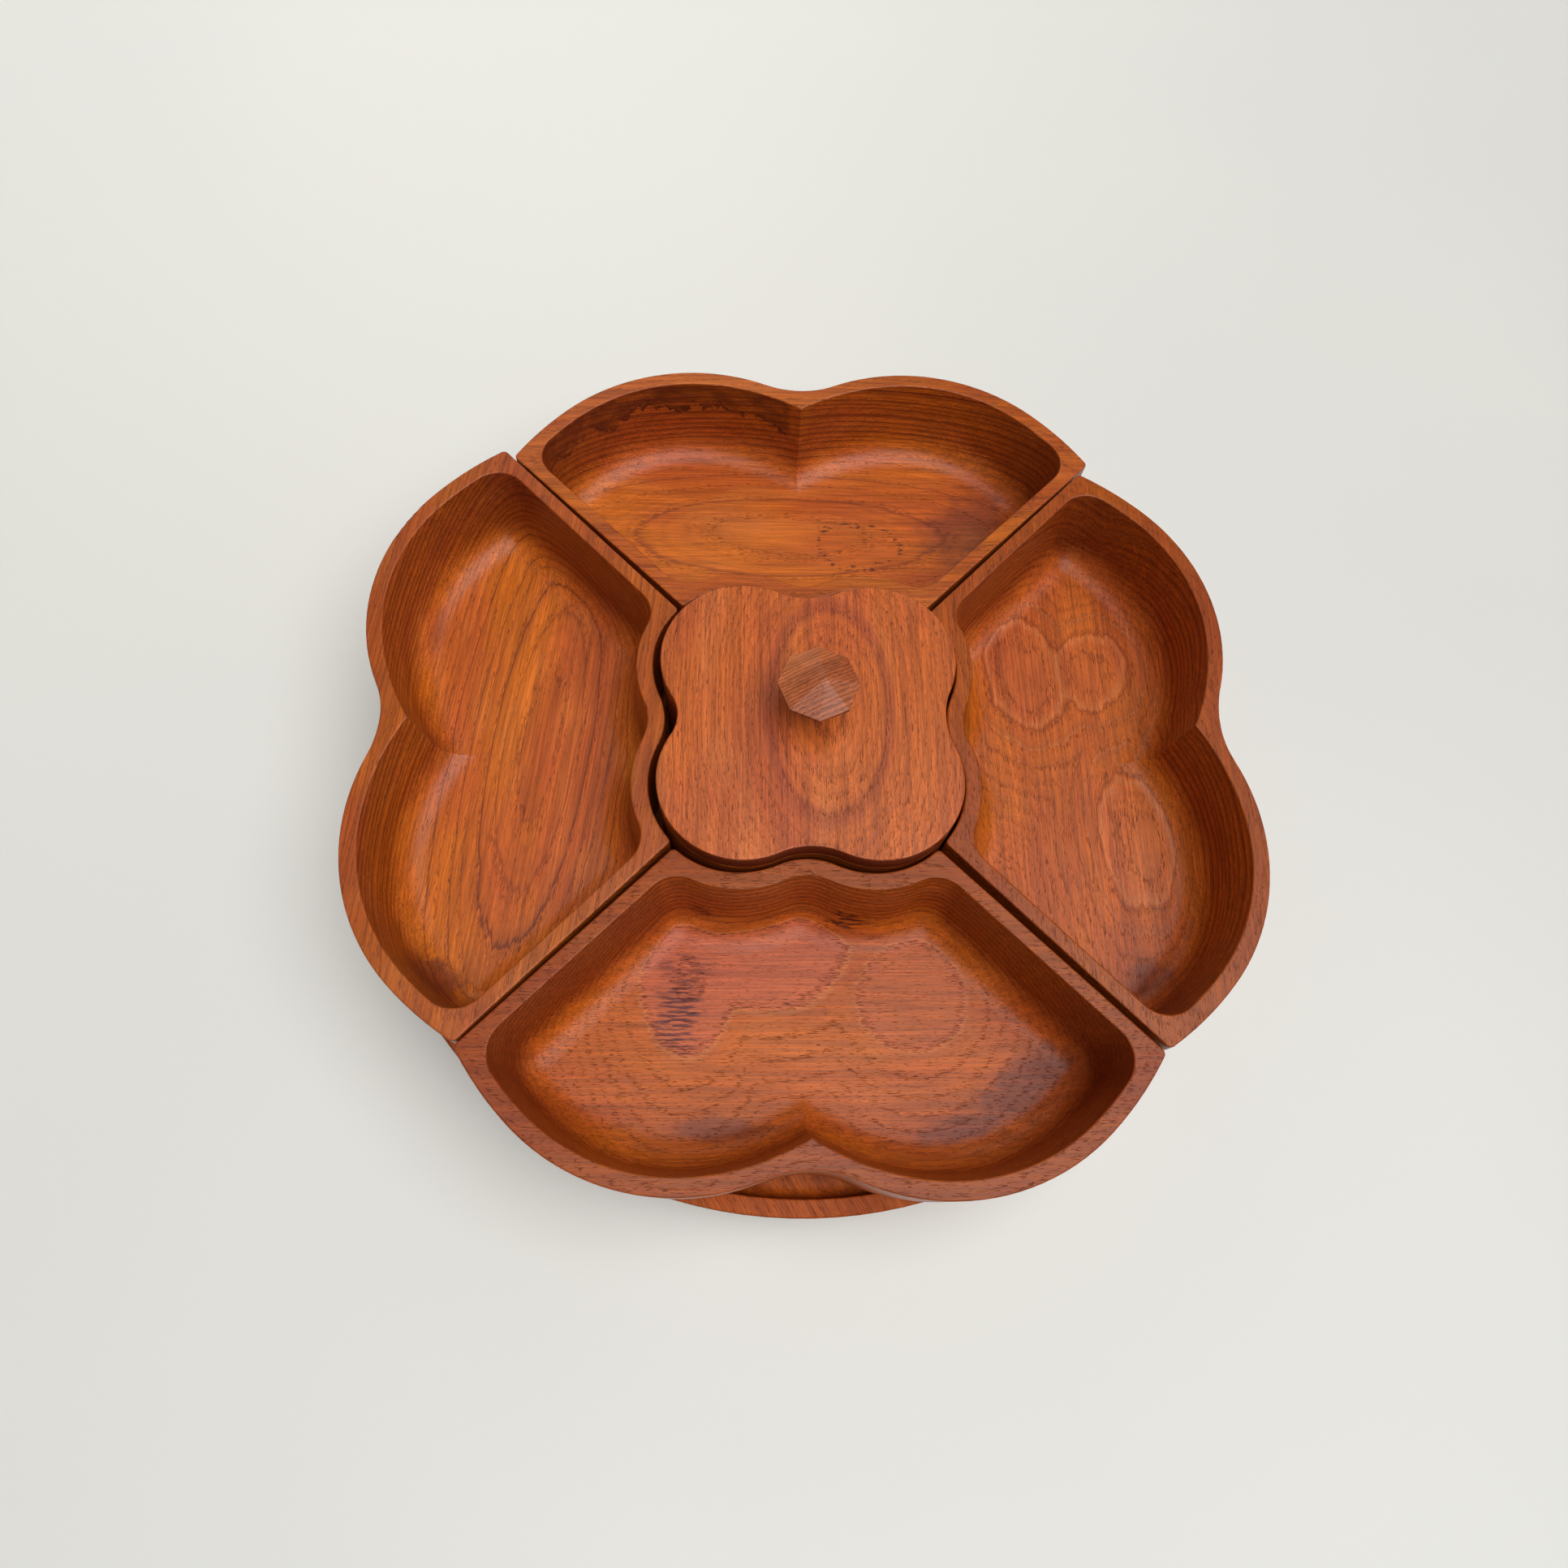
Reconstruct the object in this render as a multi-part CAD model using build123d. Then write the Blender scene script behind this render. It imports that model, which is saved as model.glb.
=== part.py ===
from build123d import *
import os
from math import atan2, cos, degrees, hypot, radians, sin, sqrt

# Lazy susan turntable in teak: a round tray that turns on a ball bearing over a
# small base, four carved dishes that make a flower, and a lidded box in the middle.
# Millimetres, +Z up, origin on the turning axis at the bottom of the feet.

os.makedirs("parts", exist_ok=True)

# --- Heights, from the table up ---------------------------------------------------
FOOT_HEIGHT = 6.0
BASE_THICKNESS = 12.0
BEARING_HEIGHT = 8.0
TRAY_THICKNESS = 16.0
RECESS_DEPTH = 6.0            # the tray's lip stands this far over its floor
DISH_RIM_OVER_LIP = 48.0
REST_GAP = 0.3                # between a lift-out piece and what it stands on

BASE_Z = FOOT_HEIGHT
BEARING_Z = BASE_Z + BASE_THICKNESS
TRAY_Z = BEARING_Z + BEARING_HEIGHT
LIP_Z = TRAY_Z + TRAY_THICKNESS
FLOOR_Z = LIP_Z - RECESS_DEPTH
RIM_Z = LIP_Z + DISH_RIM_OVER_LIP

# --- Dish outline, drawn for the dish whose middle lies along +X ------------------
LOBE_CENTRE = (99.9, 51.5)
LOBE_RADIUS = 90.7
SHOULDER_RADIUS = 141.4       # flatter arc from the lobe to the dish's tip
SHOULDER_START = 43.0         # degrees round the lobe where the shoulder takes over
NOTCH_X = 180.4               # bottom of the notch between a dish's two lobes
TIP_REACH = 194.0             # from the axis to a tip, along the seam
SEAM_GAP_OUTER = 0.4          # dish side to the 45 degree line, at the tip
SEAM_GAP_INNER = 1.3          # and at the centre opening
TIP_ROUND = 2.5
INNER_CORNER_ROUND = 2.0

# --- Four-lobed opening between the dishes, box and lid ---------------------------
CLOVER_CENTRE = 28.0          # each lobe's centre, along X and along Y
OPENING_RADIUS = 39.0
OPENING_WAIST = 61.0          # from the axis to the waist between two lobes
BOX_GAP = 3.0
BOX_SLIDE = (0.9, -1.6)       # the loose box stands this far off the axis
BOX_WAIST_EXTRA = 2.0         # its waist on -X is carved this much deeper
BOX_WALL = 8.0
BOX_FLOOR = 9.0
BOX_FLOOR_ROUND = 6.0
LID_THICKNESS = 9.0
LID_PLUG_DEPTH = 4.0
LID_PLUG_GAP = 0.7

# --- Dish walls and cavity --------------------------------------------------------
RIM_WIDTH = 7.2
RIM_WIDTH_SEAM = 6.3
RIM_WIDTH_INNER = 7.3
CAVITY_RIDGE_X = 168.8        # where the cavity's two lobes meet in a sharp ridge
CAVITY_BLEND_ANGLE = -5.0     # degrees round the lobe where the ridge's arc starts
CAVITY_DEPTH = 42.0
CAVITY_DRAFT = 6.0
CAVITY_ROUND = 14.0
CAVITY_OVERLAP = 28.0         # each half of the cavity runs this far past the middle
EDGE_ROUND = 0.8
FOOT_SET_IN = 5.0             # the dish's foot, in from the dish's wall
DISH_FOOT_RADIUS = 186.0
LIP_CLEARANCE = 0.8
FOOT_CHAMFER = 1.5
WALL_BOTTOM_ROUND = 3.0

# The dishes are carved by hand and stand loose in the recess. For each one: the way it
# faces, how far it has slid, how much further out its notch is, and how many degrees
# each of its two lobes leans out about the notch, the +Y lobe first.
DISHES = {
    "dish_right": (0, (0.0, 0.4), 1.8, (-3.0, 0.8)),
    "dish_back": (90, (0.0, 0.0), 0.6, (-0.4, 1.3)),
    "dish_left": (180, (0.0, 0.2), 1.0, (-1.3, 2.4)),
    "dish_front": (270, (-0.8, -0.7), 0.6, (0.9, -1.3)),
}

# --- Tray -------------------------------------------------------------------------
TRAY_RADIUS = 198.5
LIP_WIDTH = 7.4
RECESS_ROUND = 5.0
TRAY_EDGE_ROUND = 1.2
TRAY_UNDERSIDE_RADIUS = 168.0
TRAY_EDGE_HEIGHT = 9.0

# --- Base and feet ----------------------------------------------------------------
BASE_RADIUS = 120.0
BASE_ROUND = 3.0
ACCESS_HOLE_RADIUS = 8.0
FOOT_CIRCLE_RADIUS = 100.0
FOOT_TOP_RADIUS = 10.0
FOOT_BOTTOM_RADIUS = 8.5
FOOT_BORE_RADIUS = 4.6
FOOT_BORE_DEPTH = 3.0

# --- Bearing ----------------------------------------------------------------------
PLATE_SIDE = 140.0
PLATE_CORNER = 12.0
PLATE_THICKNESS = 1.2
PLATE_HOLE_OFFSET = 59.0
PLATE_HOLE_RADIUS = 2.2
RACE_RADIUS = 56.0
RACE_WIDTH = 8.0
RACE_HEIGHT = 2.6
BALL_RADIUS = 2.4
BALL_COUNT = 24
GROOVE_CLEARANCE = 0.05
CAGE_THICKNESS = 0.8
CAGE_WIDTH = 7.0
POCKET_CLEARANCE = 0.1
COLLAR_OUTER = 50.4
COLLAR_WALL = 1.2
HOOK_REACH = 2.2
HOOK_THICKNESS = 0.7
HOOK_CLEARANCE = 0.4
RACE_BORE = COLLAR_OUTER + 0.6
REBATE_BORE = COLLAR_OUTER + HOOK_REACH + 0.6

# --- Screws -----------------------------------------------------------------------
SHANK_RADIUS = 1.75
PAN_HEAD_RADIUS = 3.8
PAN_HEAD_HEIGHT = 2.0
PLATE_SCREW_LENGTH = 8.0
FOOT_SCREW_LENGTH = 11.0
KNOB_SCREW_LENGTH = 26.0
KNOB_SCREW_HEAD_RADIUS = 4.0
COUNTERSINK_DEPTH = 2.25
SLOT_WIDTH = 1.0
PAN_SLOT_DEPTH = 0.6
KNOB_SLOT_DEPTH = 0.8

# --- Knob -------------------------------------------------------------------------
KNOB_SIDES = 8
KNOB_OFFSET = (2.1, 3.6)      # hand-set, a little off the lid's middle
KNOB_FLARE = ((0, 5.5), (6.5, 6.2), (13.5, 9.0), (21.5, 16.8))    # height and radius
KNOB_EDGE_HEIGHT = 1.5
KNOB_CROWN_HEIGHT = 5.0
KNOB_APEX_SHIFT = 2.3

# --- Working allowances -----------------------------------------------------------
PAST = 1.0                    # how far a cut runs past the face that it opens
NEAR = 0.01                   # two places closer than this are the same


# === Small helpers ================================================================
def polar(radius, angle):
    return (radius * cos(radians(angle)), radius * sin(radians(angle)))


def angle_of(point, centre):
    return degrees(atan2(point[1] - centre[1], point[0] - centre[0]))


def toward(start, end, distance):
    """The point that lies this far from start on the line to end."""
    length = hypot(end[0] - start[0], end[1] - start[1])
    scale = distance / length
    return (start[0] + (end[0] - start[0]) * scale, start[1] + (end[1] - start[1]) * scale)


def arc(centre, start, end):
    """Arc about centre from one point to another, the short way round."""
    radius = hypot(start[0] - centre[0], start[1] - centre[1])
    first = angle_of(start, centre)
    sweep = (angle_of(end, centre) - first + 180) % 360 - 180
    return CenterArc(centre, radius, first, sweep)


def line_meets_circle(point, direction, centre, radius):
    """Where a line from point, followed along direction, last meets a circle."""
    dx = point[0] - centre[0]
    dy = point[1] - centre[1]
    along = dx * direction[0] + dy * direction[1]
    reach = -along + sqrt(along ** 2 - (dx ** 2 + dy ** 2 - radius ** 2))
    return (point[0] + direction[0] * reach, point[1] + direction[1] * reach)


def blend_centre_x(lobe_centre, lobe_radius, waist_x):
    """X of the circle on the X axis that touches a lobe's outside and passes waist_x."""
    dx = waist_x - lobe_centre[0]
    blend = (dx ** 2 + lobe_centre[1] ** 2 - lobe_radius ** 2) / (2 * (lobe_radius - dx))
    return waist_x + blend


def inner_arc_centre(centre, radius, touch, through_x):
    """Centre of the larger circle that touches this one inside at touch and meets X."""
    unit = ((touch[0] - centre[0]) / radius, (touch[1] - centre[1]) / radius)
    dx = touch[0] - through_x
    dy = touch[1]
    larger = (dx ** 2 + dy ** 2) / (2 * (dx * unit[0] + dy * unit[1]))
    return (touch[0] - unit[0] * larger, touch[1] - unit[1] * larger)


def ring(outer, inner, bottom, height):
    disc = Pos(0, 0, bottom + height / 2) * Cylinder(outer, height)
    return disc - Pos(0, 0, bottom + height / 2) * Cylinder(inner, height + 2 * PAST)


def post(radius, bottom, height, at=(0, 0)):
    return Pos(at[0], at[1], bottom + height / 2) * Cylinder(radius, height)


def four_corners(offset):
    return [(offset, offset), (-offset, offset), (-offset, -offset), (offset, -offset)]


def level_edges(solid, height):
    """Every edge that lies flat at one height."""
    found = []
    for edge in solid.edges():
        box = edge.bounding_box()
        if abs(box.min.Z - height) < NEAR and abs(box.max.Z - height) < NEAR:
            found.append(edge)
    return found


def save(name, shape):
    export_step(shape, f"parts/{name}.step")


# === Dish outline =================================================================
def seam_line(extra):
    """A point and direction on the dish's side, moved in by extra."""
    outer = SEAM_GAP_OUTER + extra
    inner = SEAM_GAP_INNER + extra
    inner_reach = CLOVER_CENTRE * sqrt(2) + OPENING_RADIUS
    far = (TIP_REACH + outer) / sqrt(2), (TIP_REACH - outer) / sqrt(2)
    near = (inner_reach + inner) / sqrt(2), (inner_reach - inner) / sqrt(2)
    length = hypot(far[0] - near[0], far[1] - near[1])
    return near, ((far[0] - near[0]) / length, (far[1] - near[1]) / length)


def lobe_centre(notch_shift, lean):
    """Centre of the +Y lobe, turned about the bottom of the notch by lean degrees."""
    arm = Vector(LOBE_CENTRE[0] - NOTCH_X, LOBE_CENTRE[1]).rotate(Axis.Z, -lean)
    return (NOTCH_X + notch_shift + arm.X, arm.Y)


def round_lobe(centre, radius, angle):
    """The point on a circle about centre that lies at this angle."""
    step = polar(radius, angle)
    return (centre[0] + step[0], centre[1] + step[1])


def shoulder(centre, lean):
    """Centre of the shoulder arc, and the point where it leaves the lobe."""
    start = round_lobe(centre, LOBE_RADIUS, SHOULDER_START - lean)
    return toward(start, centre, SHOULDER_RADIUS), start


def seam_ends(shoulder_centre, extra, outer_radius, opening_radius):
    """The tip and the inner corner, where the side meets the two curved edges."""
    point, direction = seam_line(extra)
    tip = line_meets_circle(point, direction, shoulder_centre, outer_radius)
    corner = line_meets_circle(point, direction, (CLOVER_CENTRE, CLOVER_CENTRE), opening_radius)
    return tip, corner


def opening_edge(corner, grow):
    """Edges of the wavy inner side from its corner to the waist on the X axis."""
    centre = (CLOVER_CENTRE, CLOVER_CENTRE)
    blend = (blend_centre_x(centre, OPENING_RADIUS, OPENING_WAIST), 0)
    touch = toward(centre, blend, OPENING_RADIUS + grow)
    waist = (OPENING_WAIST + grow, 0)
    return arc(centre, corner, touch), arc(blend, touch, waist)


def outline_half(notch_shift, lean):
    """Edges of the +Y half of a dish's outline, and its two sharp corners."""
    centre = lobe_centre(notch_shift, lean)
    notch = (NOTCH_X + notch_shift, 0)
    notch_centre = (blend_centre_x(centre, LOBE_RADIUS, notch[0]), 0)
    lobe_start = toward(centre, notch_centre, LOBE_RADIUS)
    shoulder_centre, shoulder_start = shoulder(centre, lean)
    tip, corner = seam_ends(shoulder_centre, 0, SHOULDER_RADIUS, OPENING_RADIUS)
    edges = [
        arc(notch_centre, notch, lobe_start),
        arc(centre, lobe_start, shoulder_start),
        arc(shoulder_centre, shoulder_start, tip),
        Line(tip, corner),
        *opening_edge(corner, 0),
    ]
    return edges, tip, corner


def dish_outline(notch_shift, leans):
    edges = []
    rounds = []
    for side, lean in zip((1, -1), leans):
        half, tip, corner = outline_half(notch_shift, lean)
        edges += half if side == 1 else [mirror(edge, about=Plane.XZ) for edge in half]
        rounds.append(((tip[0], side * tip[1], 0), TIP_ROUND))
        rounds.append(((corner[0], side * corner[1], 0), INNER_CORNER_ROUND))
    face = make_face(edges)
    for point, radius in rounds:
        face = fillet(face.vertices().sort_by_distance(point)[0], radius)
    return face


def past_middle(centre, radius):
    """Where a circle meets the line that ends the overlap of the cavity's halves."""
    return line_meets_circle((0, -CAVITY_OVERLAP), (1, 0), centre, radius)


def ridge_arc(centre, radius, touch, ridge_x):
    """The flatter arc that leaves the lobe at touch and runs past the middle."""
    middle = inner_arc_centre(centre, radius, touch, ridge_x)
    end = past_middle(middle, hypot(touch[0] - middle[0], touch[1] - middle[1]))
    return arc(middle, end, touch), end


def inner_wall(corner):
    """Edges of the cavity's wavy inner wall, from its corner to past the middle."""
    lobe, waist = opening_edge(corner, RIM_WIDTH_INNER)
    centre = (CLOVER_CENTRE, -CLOVER_CENTRE)
    end = past_middle(centre, OPENING_RADIUS + RIM_WIDTH_INNER)
    touch = waist @ 0
    far_lobe = arc(centre, (touch.X, -touch.Y), end)
    return [lobe, waist, mirror(waist, about=Plane.XZ), far_lobe], end


def cavity_half(notch_shift, lean):
    """One lobe of the cavity, run past the middle so that the two halves overlap."""
    centre = lobe_centre(notch_shift, lean)
    radius = LOBE_RADIUS - RIM_WIDTH
    shoulder_centre, shoulder_start = shoulder(centre, lean)
    shoulder_start = toward(centre, shoulder_start, radius)
    tip, corner = seam_ends(shoulder_centre, RIM_WIDTH_SEAM, SHOULDER_RADIUS - RIM_WIDTH,
                            OPENING_RADIUS + RIM_WIDTH_INNER)
    touch = round_lobe(centre, radius, CAVITY_BLEND_ANGLE - lean)
    ridge, ridge_end = ridge_arc(centre, radius, touch, CAVITY_RIDGE_X + notch_shift)
    wall, wall_end = inner_wall(corner)
    edges = [
        ridge,
        arc(centre, touch, shoulder_start),
        arc(shoulder_centre, shoulder_start, tip),
        Line(tip, corner),
        *wall,
        Line(wall_end, ridge_end),
    ]
    return make_face(edges), (tip, corner, wall_end, ridge_end)


def pocket(notch_shift, lean):
    """The hollow of the +Y lobe, with rounded corners and floor."""
    face, corners = cavity_half(notch_shift, lean)
    top = Pos(0, 0, RIM_Z) * face
    hollow = extrude(top, amount=CAVITY_DEPTH, dir=(0, 0, -1), taper=CAVITY_DRAFT)
    rounded = level_edges(hollow, RIM_Z - CAVITY_DEPTH)
    for point in corners:
        rim_point = Vector(point[0], point[1], RIM_Z)
        for edge in hollow.edges():
            box = edge.bounding_box()
            full_height = box.max.Z - box.min.Z > CAVITY_DEPTH - NEAR
            nearest = min((end.center() - rim_point).length for end in edge.vertices())
            if full_height and nearest < NEAR:
                rounded.append(edge)
    return fillet(rounded, CAVITY_ROUND)


def dish(notch_shift, leans):
    outline = dish_outline(notch_shift, leans)
    wall_bottom = LIP_Z + LIP_CLEARANCE
    block = extrude(Pos(0, 0, wall_bottom) * outline, amount=RIM_Z - wall_bottom)
    block = fillet(level_edges(block, wall_bottom), WALL_BOTTOM_ROUND)
    foot_bottom = FLOOR_Z + REST_GAP
    foot_outline = offset(outline, amount=-FOOT_SET_IN) & Circle(DISH_FOOT_RADIUS)
    foot_height = wall_bottom - foot_bottom + PAST
    foot = extrude(Pos(0, 0, foot_bottom) * foot_outline, amount=foot_height)
    foot = chamfer(level_edges(foot, foot_bottom), FOOT_CHAMFER)
    first, second = (pocket(notch_shift, lean) for lean in leans)
    body = block + foot - (first + mirror(second, about=Plane.XZ))
    return fillet(level_edges(body, RIM_Z), EDGE_ROUND)


# === Box, lid and knob ============================================================
def clover_waist(shrink, extra):
    """One waist, as it lies on +X: its blend's centre, lowest point and lobe's start."""
    centre = (CLOVER_CENTRE, CLOVER_CENTRE)
    radius = OPENING_RADIUS - shrink
    waist = OPENING_WAIST - shrink - extra
    blend = (blend_centre_x(centre, radius, waist), 0)
    return blend, (waist, 0), toward(centre, blend, radius)


def swapped(point):
    """The point mirrored about the 45 degree line."""
    return (point[1], point[0])


def clover(shrink):
    """The box's four-lobed outline, set in from the opening by shrink."""
    centre = (CLOVER_CENTRE, CLOVER_CENTRE)
    edges = []
    extras = (0, 0, BOX_WAIST_EXTRA, 0)
    for index, extra in enumerate(extras):
        blend, waist, touch = clover_waist(shrink, extra)
        next_waist = clover_waist(shrink, extras[(index + 1) % len(extras)])
        next_blend, next_low, next_touch = [swapped(point) for point in next_waist]
        quarter = [
            arc(blend, waist, touch),
            arc(centre, touch, next_touch),
            arc(next_blend, next_touch, next_low),
        ]
        edges += [Rot(0, 0, 90 * index) * edge for edge in quarter]
    return make_face(edges)


def box():
    bottom = FLOOR_Z + REST_GAP
    block = extrude(Pos(0, 0, bottom) * clover(BOX_GAP), amount=RIM_Z - bottom)
    block = fillet(level_edges(block, bottom), WALL_BOTTOM_ROUND)
    cavity_bottom = bottom + BOX_FLOOR
    hollow = extrude(Pos(0, 0, cavity_bottom) * clover(BOX_GAP + BOX_WALL),
                     amount=RIM_Z - cavity_bottom)
    hollow = fillet(level_edges(hollow, cavity_bottom), BOX_FLOOR_ROUND)
    return fillet(level_edges(block - hollow, RIM_Z), EDGE_ROUND)


def lid():
    bottom = RIM_Z + REST_GAP
    plate = extrude(Pos(0, 0, bottom) * clover(BOX_GAP), amount=LID_THICKNESS)
    plate = fillet(level_edges(plate, bottom + LID_THICKNESS), EDGE_ROUND)
    plug = extrude(Pos(0, 0, bottom - LID_PLUG_DEPTH) * clover(BOX_GAP + BOX_WALL + LID_PLUG_GAP),
                   amount=LID_PLUG_DEPTH)
    plug = fillet(level_edges(plug, bottom - LID_PLUG_DEPTH), EDGE_ROUND)
    return plate + plug - knob_screw_hole()


def knob_screw_hole():
    bottom = RIM_Z + REST_GAP - LID_PLUG_DEPTH
    shank = post(SHANK_RADIUS, bottom, KNOB_SCREW_LENGTH, KNOB_OFFSET)
    head = Cone(KNOB_SCREW_HEAD_RADIUS, SHANK_RADIUS, COUNTERSINK_DEPTH)
    return shank + Pos(*KNOB_OFFSET, bottom + COUNTERSINK_DEPTH / 2) * head


def knob():
    bottom = RIM_Z + REST_GAP + LID_THICKNESS
    place = Pos(*KNOB_OFFSET, bottom)
    sections = [Pos(0, 0, height) * RegularPolygon(radius, KNOB_SIDES)
                for height, radius in KNOB_FLARE]
    flare = loft(sections, ruled=True)
    edge = extrude(sections[-1], amount=KNOB_EDGE_HEIGHT)
    flare_height, wide_radius = KNOB_FLARE[-1]
    crown_base = flare_height + KNOB_EDGE_HEIGHT
    rim = (Pos(0, 0, crown_base) * RegularPolygon(wide_radius, KNOB_SIDES)).face().outer_wire()
    apex = Vertex(KNOB_APEX_SHIFT, 0, crown_base + KNOB_CROWN_HEIGHT)
    crown = Solid.make_loft([rim, apex], ruled=True)
    return place * (flare + edge + crown) - knob_screw_hole()


# === Tray, base and feet ==========================================================
def tray():
    lip_inner = TRAY_RADIUS - LIP_WIDTH
    edge_z = LIP_Z - TRAY_EDGE_HEIGHT
    profile = [
        Line((0, TRAY_Z), (TRAY_UNDERSIDE_RADIUS, TRAY_Z)),
        Line((TRAY_UNDERSIDE_RADIUS, TRAY_Z), (TRAY_RADIUS, edge_z)),
        Line((TRAY_RADIUS, edge_z), (TRAY_RADIUS, LIP_Z)),
        Line((TRAY_RADIUS, LIP_Z), (lip_inner, LIP_Z)),
        Line((lip_inner, LIP_Z), (lip_inner, FLOOR_Z)),
        Line((lip_inner, FLOOR_Z), (0, FLOOR_Z)),
        Line((0, FLOOR_Z), (0, TRAY_Z)),
    ]
    face = make_face(profile)
    rounds = [
        ((lip_inner, FLOOR_Z), RECESS_ROUND),
        ((TRAY_RADIUS, LIP_Z), TRAY_EDGE_ROUND),
        ((lip_inner, LIP_Z), EDGE_ROUND),
        ((TRAY_RADIUS, edge_z), WALL_BOTTOM_ROUND),
    ]
    for point, radius in rounds:
        vertex = face.vertices().sort_by_distance((point[0], point[1], 0))[0]
        face = fillet(vertex, radius)
    body = revolve(Plane.XZ * face, Axis.Z)
    depth = PLATE_SCREW_LENGTH - PLATE_THICKNESS
    for corner in four_corners(PLATE_HOLE_OFFSET):
        body -= post(SHANK_RADIUS, TRAY_Z - PAST, depth + PAST, corner)
    return body


def base():
    body = post(BASE_RADIUS, BASE_Z, BASE_THICKNESS)
    body = fillet(level_edges(body, BASE_Z) + level_edges(body, BEARING_Z), BASE_ROUND)
    depth = PLATE_SCREW_LENGTH - PLATE_THICKNESS
    for corner in four_corners(PLATE_HOLE_OFFSET):
        body -= post(SHANK_RADIUS, BEARING_Z - depth, depth + PAST, corner)
    foot_depth = FOOT_SCREW_LENGTH - (FOOT_HEIGHT - FOOT_BORE_DEPTH)
    for corner in four_corners(FOOT_CIRCLE_RADIUS / sqrt(2)):
        body -= post(SHANK_RADIUS, BASE_Z - PAST, foot_depth + PAST, corner)
    access_x = PLATE_HOLE_OFFSET * sqrt(2)
    through = BASE_THICKNESS + 2 * PAST
    return body - post(ACCESS_HOLE_RADIUS, BASE_Z - PAST, through, (access_x, 0))


def feet():
    pads = []
    for corner in four_corners(FOOT_CIRCLE_RADIUS / sqrt(2)):
        pad = Pos(*corner, FOOT_HEIGHT / 2) * Cone(FOOT_BOTTOM_RADIUS, FOOT_TOP_RADIUS, FOOT_HEIGHT)
        pad -= post(FOOT_BORE_RADIUS, -PAST, FOOT_BORE_DEPTH + PAST, corner)
        pads.append(pad - post(SHANK_RADIUS, 0, FOOT_HEIGHT + PAST, corner))
    return Compound(pads)


# === Bearing ======================================================================
def bearing_plate():
    """Lower plate, standing on its flat side at z = 0 with its race facing up."""
    sheet = extrude(RectangleRounded(PLATE_SIDE, PLATE_SIDE, PLATE_CORNER), PLATE_THICKNESS)
    for corner in four_corners(PLATE_HOLE_OFFSET):
        sheet -= post(PLATE_HOLE_RADIUS, -PAST, PLATE_THICKNESS + 2 * PAST, corner)
    race = post(RACE_RADIUS + RACE_WIDTH / 2, 0, RACE_HEIGHT)
    groove = Torus(RACE_RADIUS, BALL_RADIUS + GROOVE_CLEARANCE)
    return sheet + race - Pos(0, 0, BEARING_HEIGHT / 2) * groove


def lower_plate():
    plate = bearing_plate() - post(RACE_BORE, -PAST, BEARING_HEIGHT)
    rebate_height = HOOK_CLEARANCE + HOOK_THICKNESS + HOOK_CLEARANCE
    return Pos(0, 0, BEARING_Z) * (plate - post(REBATE_BORE, -PAST, rebate_height + PAST))


def upper_plate():
    plate = bearing_plate() - post(COLLAR_OUTER, -PAST, BEARING_HEIGHT)
    return Pos(0, 0, BEARING_Z + BEARING_HEIGHT) * Rot(180, 0, 0) * plate


def collar():
    inner = COLLAR_OUTER - COLLAR_WALL
    wall = ring(COLLAR_OUTER, inner, HOOK_CLEARANCE, BEARING_HEIGHT - HOOK_CLEARANCE)
    hook = ring(COLLAR_OUTER + HOOK_REACH, inner, HOOK_CLEARANCE, HOOK_THICKNESS)
    return Pos(0, 0, BEARING_Z) * (wall + hook)


def ball_centres():
    return [polar(RACE_RADIUS, 360 * index / BALL_COUNT) for index in range(BALL_COUNT)]


def balls():
    middle = BEARING_Z + BEARING_HEIGHT / 2
    return Compound([Pos(*centre, middle) * Sphere(BALL_RADIUS) for centre in ball_centres()])


def ball_cage():
    bottom = BEARING_Z + BEARING_HEIGHT / 2 - CAGE_THICKNESS / 2
    cage = ring(RACE_RADIUS + CAGE_WIDTH / 2, RACE_RADIUS - CAGE_WIDTH / 2, bottom, CAGE_THICKNESS)
    for centre in ball_centres():
        cage -= post(BALL_RADIUS + POCKET_CLEARANCE, bottom - PAST, CAGE_THICKNESS + 2 * PAST,
                     centre)
    return cage


# === Screws =======================================================================
def screw_slot(head_radius, depth):
    """Cutter for a slot right across a screw's head, centred on the head's face."""
    return Box(2 * (head_radius + PAST), SLOT_WIDTH, 2 * depth)


def pan_screw(length):
    """Screw that points up from its head, the head's seat at z = 0."""
    head = post(PAN_HEAD_RADIUS, -PAN_HEAD_HEIGHT, PAN_HEAD_HEIGHT)
    head = fillet(level_edges(head, -PAN_HEAD_HEIGHT), PAN_HEAD_HEIGHT / 2)
    slot = Pos(0, 0, -PAN_HEAD_HEIGHT) * screw_slot(PAN_HEAD_RADIUS, PAN_SLOT_DEPTH)
    return head + post(SHANK_RADIUS, 0, length) - slot


def lower_screws():
    seat = BEARING_Z + PLATE_THICKNESS
    flipped = Rot(180, 0, 0) * pan_screw(PLATE_SCREW_LENGTH)
    return Compound([Pos(*corner, seat) * flipped for corner in four_corners(PLATE_HOLE_OFFSET)])


def upper_screws():
    seat = BEARING_Z + BEARING_HEIGHT - PLATE_THICKNESS
    screw = pan_screw(PLATE_SCREW_LENGTH)
    return Compound([Pos(*corner, seat) * screw for corner in four_corners(PLATE_HOLE_OFFSET)])


def foot_screws():
    screw = pan_screw(FOOT_SCREW_LENGTH)
    corners = four_corners(FOOT_CIRCLE_RADIUS / sqrt(2))
    return Compound([Pos(*corner, FOOT_BORE_DEPTH) * screw for corner in corners])


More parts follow.
